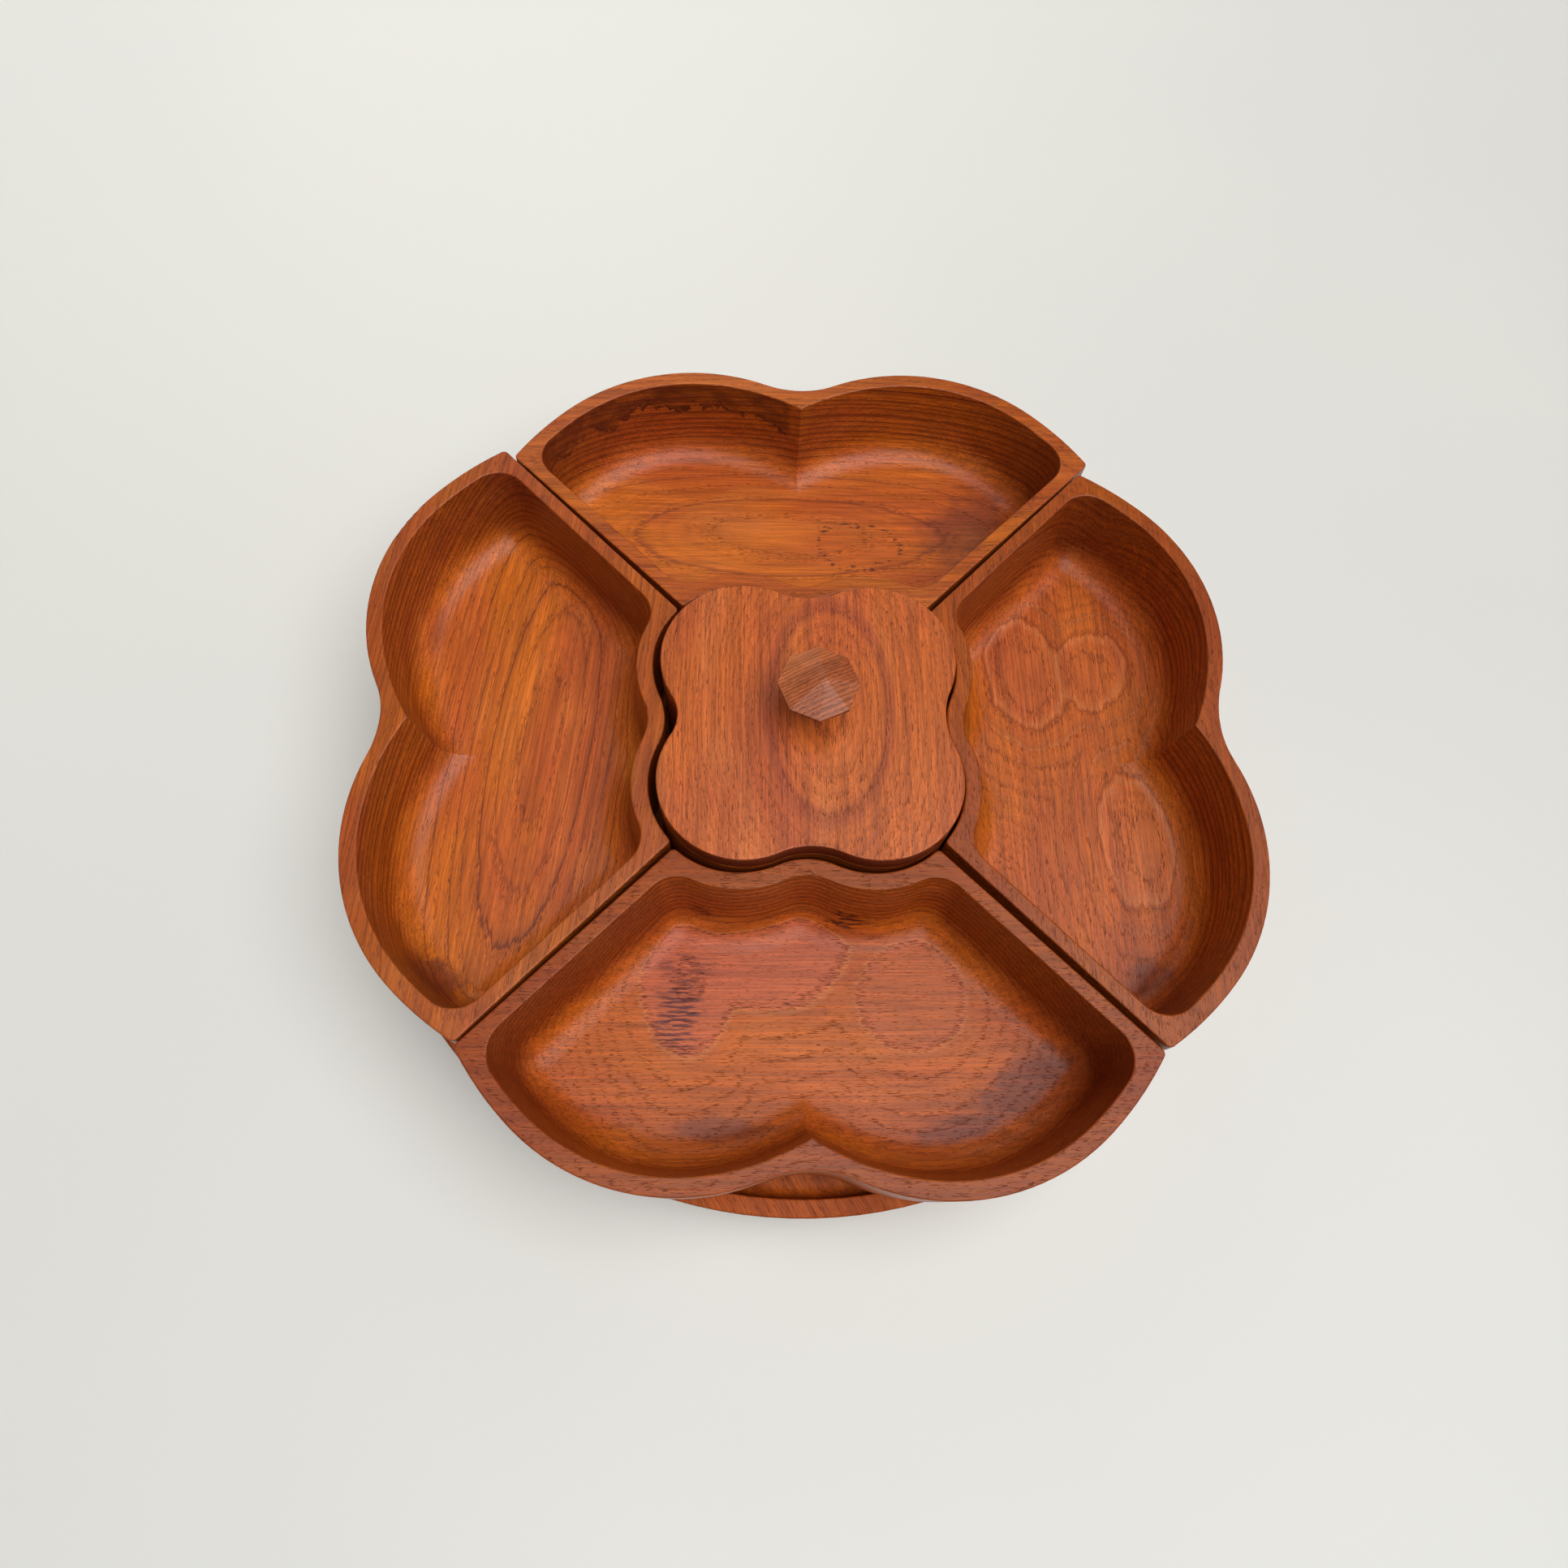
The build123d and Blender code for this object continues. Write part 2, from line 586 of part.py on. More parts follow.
def knob_screw():
    bottom = RIM_Z + REST_GAP - LID_PLUG_DEPTH
    slot = Pos(*KNOB_OFFSET, bottom) * screw_slot(KNOB_SCREW_HEAD_RADIUS, KNOB_SLOT_DEPTH)
    return knob_screw_hole() - slot


# === Write every piece ============================================================
for name, (turn, slide, notch_shift, leans) in DISHES.items():
    save(name, Pos(*slide, 0) * Rot(0, 0, turn) * dish(notch_shift, leans))

for name, make in {"box": box, "lid": lid, "knob": knob, "knob_screw": knob_screw}.items():
    save(name, Pos(*BOX_SLIDE, 0) * make())

for name, make in {
    "tray": tray,
    "base": base,
    "feet": feet,
    "foot_screws": foot_screws,
    "lower_plate": lower_plate,
    "lower_screws": lower_screws,
    "upper_plate": upper_plate,
    "upper_screws": upper_screws,
    "collar": collar,
    "ball_cage": ball_cage,
    "balls": balls,
}.items():
    save(name, make())
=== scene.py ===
import bpy
import math
from mathutils import Matrix, Vector

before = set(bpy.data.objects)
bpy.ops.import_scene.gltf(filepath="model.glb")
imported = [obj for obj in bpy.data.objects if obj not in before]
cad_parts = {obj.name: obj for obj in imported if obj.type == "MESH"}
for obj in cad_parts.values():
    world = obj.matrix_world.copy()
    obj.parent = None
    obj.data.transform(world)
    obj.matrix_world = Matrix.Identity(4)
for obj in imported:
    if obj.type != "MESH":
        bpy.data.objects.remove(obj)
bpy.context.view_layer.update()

# Looks for a teak lazy susan: four carved dishes and a lidded box on a turning tray.
# Every shape comes from the CAD frame. This script adds the materials, the floor, the
# light and the camera. Lengths inside the wood materials are millimetres.

scene = bpy.context.scene

# --- Camera -----------------------------------------------------------------------
CAMERA_TARGET = Vector((-0.010, -0.029, 0.090))
CAMERA_DISTANCE = 0.443
CAMERA_ELEVATION = 68.0
CAMERA_AZIMUTH = -6.6
CAMERA_ROLL = 6.6
CAMERA_LENS = 24.2
CAMERA_NEAR = 0.01

# --- Light and floor --------------------------------------------------------------
KEY_STRENGTH = 2.80
KEY_TILT = 18.0               # degrees from straight overhead
KEY_TOWARD = -35.0            # degrees from +X to the side that the key leans to
KEY_SPREAD = 60.0             # apparent size of the key's disc in degrees
FILL_PLACE = Vector((-0.35, 1.35, 0.9))
FILL_SIZE = 1.1
FILL_POWER = 5.0
FILL_COLOR = (1.0, 0.95, 0.86)
FLOOR_SIZE = 16.0
HORIZON_LIGHT = 0.36
OVERHEAD_LIGHT = 0.04
SKY_FADE = 0.5                # the height in the sky, as a sine, where it is dimmest

# --- Relief of the bumps, in metres -----------------------------------------------
WOOD_RELIEF = 0.00018
STEEL_RELIEF = 0.00002
MOULDED_RELIEF = 0.00006
MILLIMETRES = 1000.0          # to the metre


# === Node helpers =================================================================
class Graph:
    """A material's node tree. Sockets and plain numbers are both taken as inputs."""

    def __init__(self, name):
        self.material = bpy.data.materials.new(name)
        self.material.use_nodes = True
        self.tree = self.material.node_tree
        self.shader = self.tree.nodes["Principled BSDF"]

    def put(self, value, socket):
        if isinstance(value, bpy.types.NodeSocket):
            self.tree.links.new(value, socket)
        else:
            socket.default_value = value

    def node(self, kind, **settings):
        made = self.tree.nodes.new(kind)
        for key, value in settings.items():
            setattr(made, key, value)
        return made

    def math(self, operation, *values, clamp=False):
        made = self.node("ShaderNodeMath", operation=operation, use_clamp=clamp)
        for socket, value in zip(made.inputs, values):
            self.put(value, socket)
        return made.outputs[0]

    def add(self, a, b):
        return self.math("ADD", a, b)

    def sub(self, a, b):
        return self.math("SUBTRACT", a, b)

    def mul(self, a, b):
        return self.math("MULTIPLY", a, b)

    def square(self, a):
        return self.math("MULTIPLY", a, a)

    def vector(self, operation, a, b):
        made = self.node("ShaderNodeVectorMath", operation=operation)
        self.put(a, made.inputs[0])
        if operation == "SCALE":
            self.put(b, made.inputs["Scale"])
        else:
            self.put(b, made.inputs[1])
        return made.outputs[0]

    def turn(self, vector, angle):
        made = self.node("ShaderNodeVectorRotate", rotation_type="Z_AXIS")
        self.put(vector, made.inputs["Vector"])
        made.inputs["Angle"].default_value = angle
        return made.outputs[0]

    def length(self, vector):
        made = self.node("ShaderNodeVectorMath", operation="LENGTH")
        self.put(vector, made.inputs[0])
        return made.outputs["Value"]

    def split(self, vector):
        made = self.node("ShaderNodeSeparateXYZ")
        self.put(vector, made.inputs[0])
        return made.outputs[0], made.outputs[1], made.outputs[2]

    def join(self, x, y, z):
        made = self.node("ShaderNodeCombineXYZ")
        for socket, value in zip(made.inputs, (x, y, z)):
            self.put(value, socket)
        return made.outputs[0]

    def noise(self, vector, scale=1.0, detail=2.0, roughness=0.5, lacunarity=2.0):
        made = self.node("ShaderNodeTexNoise", noise_dimensions="3D")
        self.put(vector, made.inputs["Vector"])
        made.inputs["Scale"].default_value = scale
        made.inputs["Detail"].default_value = detail
        made.inputs["Roughness"].default_value = roughness
        made.inputs["Lacunarity"].default_value = lacunarity
        return made.outputs[0]

    def line_noise(self, value, scale=1.0, detail=1.0):
        made = self.node("ShaderNodeTexNoise", noise_dimensions="1D")
        self.put(value, made.inputs["W"])
        made.inputs["Scale"].default_value = scale
        made.inputs["Detail"].default_value = detail
        return made.outputs[0]

    def random(self, value):
        made = self.node("ShaderNodeTexWhiteNoise", noise_dimensions="1D")
        self.put(value, made.inputs["W"])
        return made.outputs[0]

    def step(self, value, low, high, out_low=0.0, out_high=1.0):
        """Smooth step from out_low to out_high as value goes from low to high."""
        made = self.node("ShaderNodeMapRange", interpolation_type="SMOOTHSTEP")
        self.put(value, made.inputs["Value"])
        made.inputs["From Min"].default_value = low
        made.inputs["From Max"].default_value = high
        made.inputs["To Min"].default_value = out_low
        made.inputs["To Max"].default_value = out_high
        return made.outputs[0]

    def mix(self, factor, a, b, blend="MIX"):
        made = self.node("ShaderNodeMix", data_type="RGBA", blend_type=blend)
        self.put(factor, made.inputs["Factor"])
        for name, value in (("A", a), ("B", b)):
            socket = [s for s in made.inputs if s.name == name and s.type == "RGBA"][0]
            self.put(value, socket)
        return [s for s in made.outputs if s.type == "RGBA"][0]

    def bump(self, height, distance, strength=1.0):
        made = self.node("ShaderNodeBump")
        self.put(height, made.inputs["Height"])
        made.inputs["Distance"].default_value = distance
        made.inputs["Strength"].default_value = strength
        return made.outputs[0]

    def finish(self, color, roughness, normal=None):
        self.put(color, self.shader.inputs["Base Color"])
        self.put(roughness, self.shader.inputs["Roughness"])
        if normal is not None:
            self.put(normal, self.shader.inputs["Normal"])
        return self.material


def rgb(red, green, blue):
    """Linear colour from 0-255 display values."""
    linear = []
    for value in (red, green, blue):
        value /= 255
        linear.append(value / 12.92 if value < 0.04045 else ((value + 0.055) / 1.055) ** 2.4)
    return (*linear, 1.0)


# === Teak =========================================================================
# How fine each noise is, per millimetre along the grain, across it and through it.
WARP_STRETCH = (0.35, 1.0, 1.0)
RAGGED = (0.05, 0.75, 0.75)
BROAD = (0.008, 0.022, 0.022)
PATCH = (0.02, 0.06, 0.06)
FIBRE = (0.03, 1.3, 1.3)
STREAK = (0.012, 0.30, 0.30)
PORE_DASH = (0.30, 3.4, 3.4)
STAIN_STREAK = (0.10, 0.9, 0.9)
STAIN_DOT = (0.28, 0.9, 0.9)
SPALT_CLOUD = (0.05, 0.2, 0.2)

SEED_SHIFT = (131.0, 57.0, 83.0)    # how far apart two pieces' seeds lie in the noises
OVAL_BLEND = 0.6                    # how softly two ovals join, in ring spacings
RING_DRIFT = 0.07                   # how often the distance between rings changes
FINE_PER_RING = 3.37                # fine lines to each ring
WALL_LINE = 0.62                    # the least strength of a ring's line on a wall
WALL_LATE = 0.42                    # how much darker its late wood is there
WALL_FINE = 0.38                    # and its fine lines
PORE_CROWD = 0.13                   # how much the pores crowd at a ring's start
PORE_EDGE = 0.07                    # how soft a pore's edge is
HANDLED_START = 1.6                 # the rim darkens from this far under its top,
HANDLED_END = 0.4                   # and is darkest from here up
SPALT_WANDER = 30.0                 # how far the weathered edge wanders up and down
SPALT_FRAY = 14.0                   # how far it frays
SPALT_NEAR = 140.0                  # this near the axis there is none
SPALT_FAR = 156.0                   # and from here out it is at full strength

# Colours, as 0-255 display values.
TEAK_GOLD = rgb(202, 104, 22)
TEAK_RED = rgb(184, 84, 28)
TEAK_PALE = rgb(212, 116, 48)
RING_LINE = rgb(92, 30, 14)
PORE = rgb(84, 26, 10)
# End grain and handled rims, and the painted shade in the tray's recess.
END_GRAIN_AND_SHADE = rgb(104, 38, 14)
STAIN = rgb(96, 44, 40)
PURPLE = rgb(70, 24, 38)
# Painted sheen inside the first ring of the right and front dishes.
PINK_SHEEN = rgb(192, 96, 70)
INK = rgb(52, 18, 10)
BAND = rgb(140, 60, 40)
# Painted shade on the inner walls of the left and right dishes, by the lid.
OLIVE_SHADE = rgb(168, 96, 14)
# Painted sheen in pale bands along the rings of the right and front dishes.
PALE_SHEEN = rgb(226, 140, 84)
HONEY = rgb(184, 90, 22)
FLOOR_COOL = rgb(226, 226, 223)
FLOOR_WARM = rgb(230, 229, 221)


class Wood:
    """What one piece of teak looks like; defaults suit a plain board."""

    def __init__(self, grain, ovals, seed, **others):
        self.grain = grain              # degrees from +X to the grain's direction
        self.ovals = ovals              # (x, y, half width, half length) of the first ring
        self.seed = seed
        self.spacing = 4.0              # how much the growth field gains from ring to ring
        self.warp = 1.0
        self.warp_size = 40.0
        self.feather = 7.0              # raggedness of the rings along the grain
        self.slope = 1.0                # how fast the rings climb with height
        self.uneven = 2.2               # how much the distance between rings varies
        self.inward = False             # the pores crowd inside each line, not outside
        self.line = 0.40
        self.late = 0.12
        self.fine = 0.14
        self.pores = 0.70
        self.pore_limit = 0.68          # the lower, the more pores
        self.gold = TEAK_GOLD
        self.red = TEAK_RED
        self.pale = TEAK_PALE
        self.face = 48.0                # height of the broad face that shows the figure
        self.sheen_inside = None               # (level on that face, strength, colour) of a painted sheen inside it
        self.figure_and_sheen_bands = []                 # (level on that face, half width, strength, colour) of figure bands and painted sheen bands
        self.stains_and_shade = []                # (kind, place, size, turn, strength, colour) of stains and painted shade
        self.spalt = None               # (first x, last x, height) of dark weathered wood
        self.roughness = 0.36
        self.specular = 0.35
        self.end = 0.50                 # how dark end grain is
        self.rim = 90.0                 # height above which the wood is darker with handling
        self.rim_dark = 0.0
        for key, value in others.items():
            setattr(self, key, value)


def millimetre_point(g):
    """The surface point in the object's own frame, in millimetres."""
    return g.vector("SCALE", g.node("ShaderNodeTexCoord").outputs["Object"], MILLIMETRES)


def grain_frame(g, wood):
    """The point in millimetres, the same point turned so that X runs along the grain,
    how much end grain the surface shows, and how steep it is."""
    place = g.node("ShaderNodeTexCoord")
    point = g.vector("SCALE", place.outputs["Object"], MILLIMETRES)
    angle = -math.radians(wood.grain)
    grain_point = g.turn(point, angle)
    facing = g.split(g.turn(place.outputs["Normal"], angle))
    end_grain = g.step(g.math("ABSOLUTE", facing[0]), 0.30, 0.95)
    steep = g.step(g.math("ABSOLUTE", facing[2]), 0.75, 0.25)
    return point, grain_point, end_grain, steep


def growth(g, wood, grain_point, moved):
    """The field whose level lines are the year rings, on a level cut and in full."""
    along, across, height = g.split(grain_point)
    ragged = g.noise(g.vector("MULTIPLY", moved, RAGGED), 1.0, 2.0, 0.6)
    along = g.add(along, g.mul(g.sub(ragged, 0.5), 2.0 * wood.feather))
    turn = Matrix.Rotation(-math.radians(wood.grain), 2)
    figure = None
    for x, y, half_width, half_length in wood.ovals:
        centre = turn @ Vector((x, y))
        wide = g.mul(g.square(g.sub(across, centre.y)), wood.spacing / half_width ** 2)
        long = g.mul(g.square(g.sub(along, centre.x)), wood.spacing / half_length ** 2)
        oval = g.add(wide, long)
        blend = OVAL_BLEND * wood.spacing
        figure = oval if figure is None else g.math("SMOOTH_MIN", figure, oval, blend)
    stretched = g.vector("MULTIPLY", moved, WARP_STRETCH)
    warp = g.sub(g.noise(stretched, 1.0 / wood.warp_size, 3.0, 0.55), 0.5)
    figure = g.add(figure, g.mul(warp, 4.0 * wood.warp))
    return figure, g.add(figure, g.mul(height, wood.slope))


def ring_marks(g, wood, figure, field, steep):
    """Each ring's dark line, its late wood, finer lines, and where the pores crowd."""
    uneven = g.mul(g.line_noise(field, RING_DRIFT), wood.uneven)
    phase = g.add(g.math("DIVIDE", field, wood.spacing), uneven)
    if wood.inward:
        phase = g.mul(phase, -1.0)
    part = g.math("FRACT", phase)
    weight = g.math("POWER", g.random(g.add(g.math("FLOOR", phase), wood.seed)), 1.6)
    middle = g.step(figure, 0.2 * wood.spacing, 0.9 * wood.spacing, 0.2, 1.0)
    weight = g.mul(g.mul(g.add(g.mul(weight, 0.8), 0.2), middle), wood.line)
    weight = g.math("MAXIMUM", weight, g.mul(steep, WALL_LINE))
    end = g.step(part, 0.95, 1.0, 1.0, 0.0)
    line = g.mul(g.mul(g.step(part, 0.80, 0.94), end), weight)
    late = g.add(g.mul(steep, WALL_LATE), g.mul(middle, wood.late))
    late = g.mul(g.mul(g.step(part, 0.30, 0.95), end), late)
    fine_part = g.math("FRACT", g.mul(phase, FINE_PER_RING))
    fine = g.mul(g.step(fine_part, 0.50, 0.85), g.step(fine_part, 0.92, 1.0, 1.0, 0.0))
    fine = g.mul(fine, g.add(g.mul(steep, WALL_FINE), wood.fine))
    return line, late, fine, g.step(part, 0.42, 0.02)


def add_stain_or_shade(g, color, point, grain_point, mark):
    """Adds one mark: a soft patch, streaks along the grain, or a dotted ring. Soft patches are
    stains, except the olive ones and the tray's dark one, which are painted shade.
    """
    kind, place, size, turn, strength, tint = mark
    offset = g.turn(g.vector("SUBTRACT", point, place), -math.radians(turn))
    scaled = g.vector("MULTIPLY", offset, tuple(1.0 / reach for reach in size))
    cloud = g.noise(point, 0.11, 3.0, 0.6)
    reach = g.add(g.length(scaled), g.mul(g.sub(cloud, 0.5), 1.3))
    inside = g.step(reach, 1.15, 0.45)
    if kind == "streaks":
        streak = g.noise(g.vector("MULTIPLY", grain_point, STAIN_STREAK), 1.0, 2.0)
        inside = g.mul(inside, g.step(streak, 0.46, 0.58))
    elif kind == "ring":
        band = g.step(g.math("ABSOLUTE", g.sub(reach, 1.0)), 0.16, 0.04)
        dots = g.noise(g.vector("MULTIPLY", grain_point, STAIN_DOT), 1.0, 1.0)
        inside = g.mul(band, g.step(dots, 0.50, 0.60))
    return g.mix(g.mul(inside, strength), color, tint)


def spalted(g, color, point, spalt):
    """Dark weathered wood over a wandering line, darkest along the line itself. Only the
    back dish has it, on the side of its wall that faces the axis."""
    first, last, height = spalt
    facing = g.split(g.node("ShaderNodeTexCoord").outputs["Normal"])
    x, y, z = g.split(point)
    wander = g.mul(g.sub(g.line_noise(x, 0.045, 2.0), 0.5), SPALT_WANDER)
    frayed = g.mul(g.sub(g.noise(point, 0.30, 3.0, 0.65), 0.5), SPALT_FRAY)
    over = g.sub(z, g.add(g.add(wander, frayed), height))
    reach = g.length(g.join(x, y, 0.0))
    window = g.mul(g.step(x, first, first + 14.0), g.step(x, last, last - 3.0))
    window = g.mul(g.mul(window, g.step(reach, SPALT_NEAR, SPALT_FAR)), g.step(z, 89.8, 89.2))
    window = g.mul(window, g.step(facing[1], 0.3, -0.1))
    cloud = g.noise(g.vector("MULTIPLY", point, SPALT_CLOUD), 1.0, 3.0, 0.6)
    dark = g.mul(g.step(over, -1.0, 2.0), g.step(cloud, 0.3, 0.7, 0.25, 0.75))
    line = g.mul(g.step(g.math("ABSOLUTE", over), 1.8, 0.5), g.step(cloud, 0.35, 0.5, 0.3, 0.9))
    return g.mix(g.mul(g.math("MAXIMUM", dark, line), window), color, INK)


def ground_color(g, wood, point, moved, field):
    """The wood's colour without its rings: drifts of gold, red and pale, figure bands and
    stains, with painted sheen in the right and front dishes and painted shade in the left and
    right dishes and the tray's recess.
    """
    on_face = g.sub(field, wood.slope * wood.face)
    broad = g.noise(g.vector("MULTIPLY", moved, BROAD), 1.0, 3.0, 0.6)
    patch = g.noise(g.vector("MULTIPLY", moved, PATCH), 1.0, 2.0, 0.5)
    color = g.mix(g.step(broad, 0.35, 0.65), wood.red, wood.gold)
    color = g.mix(g.step(patch, 0.45, 0.75, 0.0, 0.5), color, wood.pale)
    # Painted sheen: a tint inside the first ring.
    if wood.sheen_inside:
        level, strength, tint = wood.sheen_inside
        color = g.mix(g.step(on_face, level + 0.12, level - 0.12, 0.0, strength), color, tint)
    # Bands along the rings: darker figure on the lid, painted sheen in the right and front
    # dishes.
    for level, half_width, strength, tint in wood.figure_and_sheen_bands:
        away = g.math("ABSOLUTE", g.sub(on_face, level))
        color = g.mix(g.step(away, half_width, 0.5 * half_width, 0.0, strength), color, tint)
    # Stains, and painted shade in some woods.
    for mark in wood.stains_and_shade:
        color = add_stain_or_shade(g, color, point, moved, mark)
    if wood.spalt:
        color = spalted(g, color, point, wood.spalt)
    return color


def teak(name, wood):
    g = Graph(name)
    g.shader.inputs["Specular IOR Level"].default_value = wood.specular
    point, grain_point, end_grain, steep = grain_frame(g, wood)
    moved = g.vector("ADD", grain_point, tuple(shift * wood.seed for shift in SEED_SHIFT))
    figure, field = growth(g, wood, grain_point, moved)
    line, late, fine, early = ring_marks(g, wood, figure, field, steep)

    fibre = g.noise(g.vector("MULTIPLY", moved, FIBRE), 1.0, 4.0, 0.7)
    streak = g.noise(g.vector("MULTIPLY", moved, STREAK), 1.0, 2.0, 0.5)
    dashes = g.noise(g.vector("MULTIPLY", moved, PORE_DASH), 1.0, 1.0)
    pore = g.step(g.add(dashes, g.mul(early, PORE_CROWD)), wood.pore_limit,
                  wood.pore_limit + PORE_EDGE)

    color = ground_color(g, wood, point, moved, field)
    color = g.mix(late, color, RING_LINE)
    shade = g.mul(g.step(fibre, 0.25, 0.75, 0.66, 1.34), g.step(streak, 0.3, 0.7, 0.86, 1.12))
    color = g.mix(1.0, color, g.join(shade, shade, shade), "MULTIPLY")
    color = g.mix(g.mul(end_grain, wood.end), color, END_GRAIN_AND_SHADE)
    color = g.mix(fine, color, RING_LINE)
    color = g.mix(line, color, RING_LINE)
    handled = g.step(g.split(point)[2], wood.rim - HANDLED_START, wood.rim - HANDLED_END,
                     0.0, wood.rim_dark)
    color = g.mix(handled, color, END_GRAIN_AND_SHADE)
    color = g.mix(g.mul(pore, wood.pores), color, PORE)

    roughness = g.add(wood.roughness, g.mul(g.sub(fibre, 0.5), 0.14))
    roughness = g.add(roughness, g.mul(pore, 0.12))
    relief = g.sub(g.mul(fibre, 0.35), g.add(g.mul(pore, 0.8), g.mul(line, 0.35)))
    return g.finish(color, roughness, g.bump(relief, WOOD_RELIEF, 0.7))


# Marks in each dish, placed in the whole object's frame; Wood says what the terms are. Most are
# stains; the olive patches are painted shade.
LEFT_STAINS_AND_SHADE = [
    ("soft_patch", (-157, -103, 55), (15, 9, 20), -35, 0.6, STAIN),
    # Painted shade: olive along the inner wall by the lid.
    ("soft_patch", (-74, -12, 66), (9, 46, 26), 0, 0.55, OLIVE_SHADE),
]
RIGHT_STAINS_AND_SHADE = [
    ("soft_patch", (150, -103, 55), (13, 9, 20), 40, 0.6, STAIN),
    ("streaks", (139, 121, 60), (14, 12, 10), 0, 0.5, INK),
    # Painted shade: olive along the inner wall by the lid.
    ("soft_patch", (76, 0, 66), (9, 50, 26), 0, 0.65, OLIVE_SHADE),
]
FRONT_STAINS = [
    ("soft_patch", (92, -146, 50), (30, 11, 20), 35, 0.55, STAIN),
    ("soft_patch", (62, -165, 50), (18, 6, 20), 10, 0.5, STAIN),
    ("soft_patch", (-36, -164, 50), (24, 6, 20), 0, 0.5, STAIN),
    ("soft_patch", (47, -110, 48), (31, 29, 20), 0, 0.60, HONEY),
    ("streaks", (-54, -119, 48), (12, 17, 20), 0, 0.85, PURPLE),
    ("streaks", (-50, -98, 48), (14, 9, 20), 0, 0.45, PURPLE),
    ("streaks", (16, -80, 57), (15, 5, 8), 0, 0.95, INK),
    ("streaks", (-46, -77, 60), (6, 5, 7), 0, 0.9, INK),
]
BACK_STAINS = [
    ("soft_patch", (86, 130, 50), (30, 20, 20), 35, 0.5, STAIN),
    ("ring", (31, 119, 48), (22, 13, 30), 0, 0.8, INK),
]

# Every wood by its material slot. Ovals, bands and stains lie where the figure shows. The pink
# insides and pale bands of the right and front dishes are painted sheen; the olive patches by
# the lid and the tray's dark recess are painted shade.
WOODS = {
    "teak_dish_left": Wood(84, [(-121, 8, 17, 74)], 1, line=0.75, rim_dark=0.28,
                           red=rgb(182, 84, 32), stains_and_shade=LEFT_STAINS_AND_SHADE),
    "teak_dish_right": Wood(90, [(144, 50, 20, 22), (111, 47, 20, 30), (154, -37, 17, 34)], 2,
                            warp=1.9, warp_size=22.0, line=0.45, feather=4.0, rim_dark=0.42,
                            gold=rgb(196, 98, 22), red=rgb(182, 84, 28), pale=rgb(200, 104, 38),
                            # The pink inside and the pale bands are painted sheen.
                            specular=0.29, pore_limit=0.66, sheen_inside=(3.0, 0.12, PINK_SHEEN),
                            figure_and_sheen_bands=[(3.2, 0.4, 0.28, PALE_SHEEN), (7.4, 0.5, 0.20, PALE_SHEEN)],
                            stains_and_shade=RIGHT_STAINS_AND_SHADE),
    "teak_dish_front": Wood(0, [(-50, -100, 35, 20), (-15, -84, 31, 36), (47, -110, 25, 24)],
                            3, inward=True, uneven=0.0, warp=0.7, warp_size=34.0, line=0.10,
                            late=0.06, fine=0.07, feather=4.0, pore_limit=0.655, rim_dark=0.48,
                            gold=rgb(194, 96, 22), red=rgb(178, 80, 26), pale=rgb(202, 106, 42),
                            # The pink inside and the pale band are painted sheen.
                            specular=0.28, sheen_inside=(3.9, 0.48, PINK_SHEEN),
                            figure_and_sheen_bands=[(4.15, 0.45, 0.28, PALE_SHEEN)], stains_and_shade=FRONT_STAINS),
    "teak_dish_back": Wood(0, [(-8, 124, 23, 78)], 4, warp=0.8, line=0.55, rim_dark=0.20,
                           spalt=(-140.0, -4.0, 76.0), stains_and_shade=BACK_STAINS),
    "teak_lid": Wood(90, [(9, 2, 15.5, 30)], 5, warp=0.7, feather=5.0, line=0.30, fine=0.20,
                     pore_limit=0.655, end=0.9, face=99.3,
                     gold=rgb(205, 103, 40), red=rgb(188, 88, 42), pale=rgb(219, 122, 62),
                     figure_and_sheen_bands=[(11.6, 2.6, 0.45, BAND), (19.5, 1.6, 0.18, BAND)]),
    "teak_box": Wood(90, [(0, 0, 30, 90)], 6),
    "teak_tray": Wood(-60, [(40, 0, 30, 160)], 7, specular=0.18, roughness=0.5,
                      # The tray's dark patch at z=32 is painted shade in the recess under the
                      # dishes.
                      stains_and_shade=[("soft_patch", (0, 0, 32), (240, 240, 7), 0, 0.75, END_GRAIN_AND_SHADE)],
                      gold=rgb(184, 90, 22), red=rgb(166, 74, 20), pale=rgb(198, 104, 44)),
    "teak_base": Wood(0, [(0, 20, 30, 160)], 8),
    "knob_wood": Wood(28, [(0, -60, 13, 90)], 9, spacing=2.2, slope=0.4, feather=2.0,
                      line=0.8, late=0.45, fine=0.2, pores=0.4, end=0.2,
                      gold=rgb(200, 112, 60), red=rgb(160, 80, 42), pale=rgb(216, 130, 86)),
}


# === Metal, rubber and plastic ====================================================
def steel(name, color, roughness, grain):
    """Metal with a faint brushed grain; grain stretches it along X, Y and Z."""
    g = Graph(name)
    g.shader.inputs["Metallic"].default_value = 1.0
    point = millimetre_point(g)
    brushed = g.noise(g.vector("MULTIPLY", point, grain), 1.0, 3.0, 0.6)
    cloud = g.noise(point, 0.09, 3.0, 0.6)
    dull = tuple(0.72 * value for value in color[:3]) + (1.0,)
    tint = g.mix(g.step(cloud, 0.35, 0.7), color, dull)
    rough = g.add(g.mul(brushed, 0.16), g.mul(cloud, 0.14))
    return g.finish(tint, g.add(rough, roughness - 0.15), g.bump(brushed, STEEL_RELIEF, 0.5))


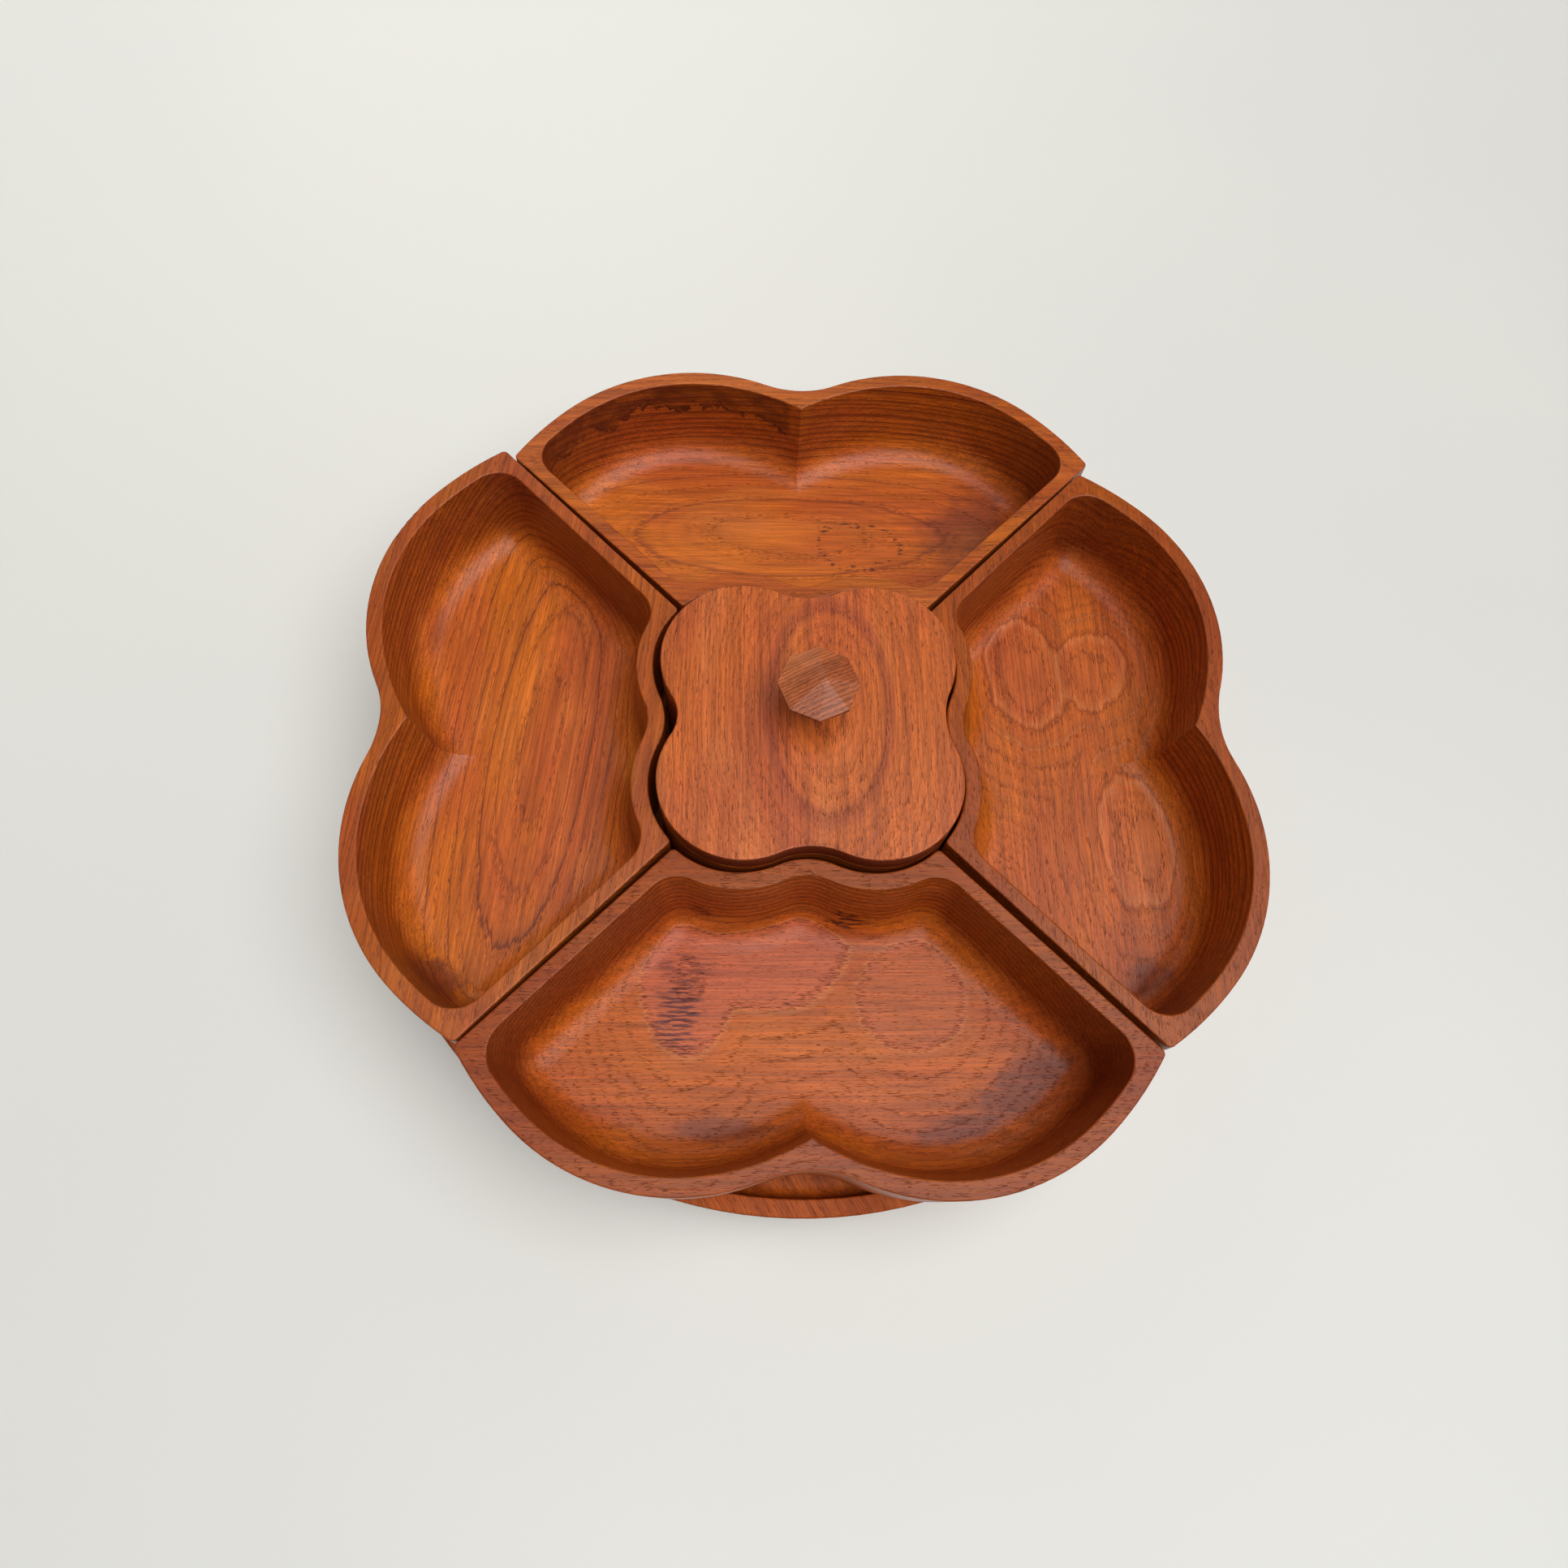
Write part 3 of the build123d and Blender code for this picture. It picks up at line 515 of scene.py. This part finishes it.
def moulded(name, color, roughness, speck):
    """Rubber or plastic with a fine moulded texture and a little dust."""
    g = Graph(name)
    point = millimetre_point(g)
    pebble = g.noise(point, speck, 2.0, 0.5)
    cloud = g.noise(point, 0.12, 3.0, 0.6)
    dusty = tuple(0.85 * value + 0.05 for value in color[:3]) + (1.0,)
    tint = g.mix(g.step(cloud, 0.4, 0.75), color, dusty)
    rough = g.add(g.mul(cloud, 0.15), roughness - 0.07)
    return g.finish(tint, rough, g.bump(pebble, MOULDED_RELIEF, 0.6))


def make_materials():
    """Every material slot of the model, by name."""
    made = {slot: teak(slot, wood) for slot, wood in WOODS.items()}
    made["plate_steel"] = steel("plate_steel", rgb(196, 198, 202), 0.34, (0.05, 2.0, 2.0))
    made["screw_steel"] = steel("screw_steel", rgb(206, 202, 190), 0.30, (1.2, 1.2, 0.3))
    made["ball_steel"] = steel("ball_steel", rgb(214, 215, 218), 0.16, (1.0, 1.0, 1.0))
    made["foot_rubber"] = moulded("foot_rubber", rgb(38, 36, 34), 0.72, 2.2)
    made["cage_plastic"] = moulded("cage_plastic", rgb(222, 216, 202), 0.45, 3.0)
    return made


def dress(nodes, materials):
    """Gives each CAD node's slots the material of the same name."""
    for node in nodes:
        for material_slot in node.material_slots:
            slot = material_slot.material.name.split(".")[0]
            material_slot.material = materials[slot]


def camera():
    azimuth = math.radians(CAMERA_AZIMUTH)
    elevation = math.radians(CAMERA_ELEVATION)
    roll = math.radians(CAMERA_ROLL)
    back = Vector((math.sin(azimuth) * math.cos(elevation),
                   -math.cos(azimuth) * math.cos(elevation), math.sin(elevation)))
    level = Vector((math.cos(azimuth), math.sin(azimuth), 0))
    rise = back.cross(level)
    right = level * math.cos(roll) + rise * math.sin(roll)
    up = rise * math.cos(roll) - level * math.sin(roll)
    data = bpy.data.cameras.new("camera")
    data.lens = CAMERA_LENS
    data.clip_start = CAMERA_NEAR
    made = bpy.data.objects.new("camera", data)
    made.matrix_world = Matrix((right, up, back)).transposed().to_4x4()
    made.matrix_world.translation = CAMERA_TARGET + back * CAMERA_DISTANCE
    scene.collection.objects.link(made)
    scene.camera = made


def key_light():
    """A wide disc of light high over the table, leaning to the front and right."""
    tilt = math.radians(KEY_TILT)
    side = math.radians(KEY_TOWARD)
    toward = Vector((math.sin(tilt) * math.cos(side), math.sin(tilt) * math.sin(side),
                     math.cos(tilt)))
    data = bpy.data.lights.new("key", "SUN")
    data.energy = KEY_STRENGTH
    data.angle = math.radians(KEY_SPREAD)
    made = bpy.data.objects.new("key", data)
    made.rotation_mode = "QUATERNION"
    made.rotation_quaternion = toward.to_track_quat("Z", "Y")
    scene.collection.objects.link(made)


def fill_light():
    """Brightens the table behind the object."""
    data = bpy.data.lights.new("fill", "AREA")
    data.energy = FILL_POWER
    data.size = FILL_SIZE
    data.color = FILL_COLOR
    made = bpy.data.objects.new("fill", data)
    made.location = FILL_PLACE
    scene.collection.objects.link(made)


def surroundings():
    """Pale near the horizon and dim overhead, so that the key does the lighting."""
    world = bpy.data.worlds.new("studio")
    world.use_nodes = True
    scene.world = world
    tree = world.node_tree
    background = tree.nodes["Background"]
    place = tree.nodes.new("ShaderNodeTexCoord")
    split = tree.nodes.new("ShaderNodeSeparateXYZ")
    ramp = tree.nodes.new("ShaderNodeMapRange")
    tree.links.new(place.outputs["Generated"], split.inputs[0])
    tree.links.new(split.outputs[2], ramp.inputs["Value"])
    ramp.inputs["From Min"].default_value = 0.0
    ramp.inputs["From Max"].default_value = SKY_FADE
    ramp.inputs["To Min"].default_value = HORIZON_LIGHT
    ramp.inputs["To Max"].default_value = OVERHEAD_LIGHT
    tree.links.new(ramp.outputs[0], background.inputs["Strength"])
    background.inputs["Color"].default_value = (1.0, 1.0, 1.0, 1)


def floor():
    half = FLOOR_SIZE / 2
    mesh = bpy.data.meshes.new("floor")
    mesh.from_pydata([(-half, -half, 0), (half, -half, 0), (half, half, 0), (-half, half, 0)],
                     [], [(0, 1, 2, 3)])
    made = bpy.data.objects.new("floor", mesh)
    scene.collection.objects.link(made)
    g = Graph("floor")
    cloud = g.noise(g.node("ShaderNodeTexCoord").outputs["Object"], 2.5, 3.0, 0.5)
    color = g.mix(cloud, FLOOR_COOL, FLOOR_WARM)
    mesh.materials.append(g.finish(color, g.step(cloud, 0.3, 0.7, 0.34, 0.44)))


dress(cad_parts.values(), make_materials())
camera()
key_light()
fill_light()
surroundings()
floor()
scene.view_settings.view_transform = "Standard"
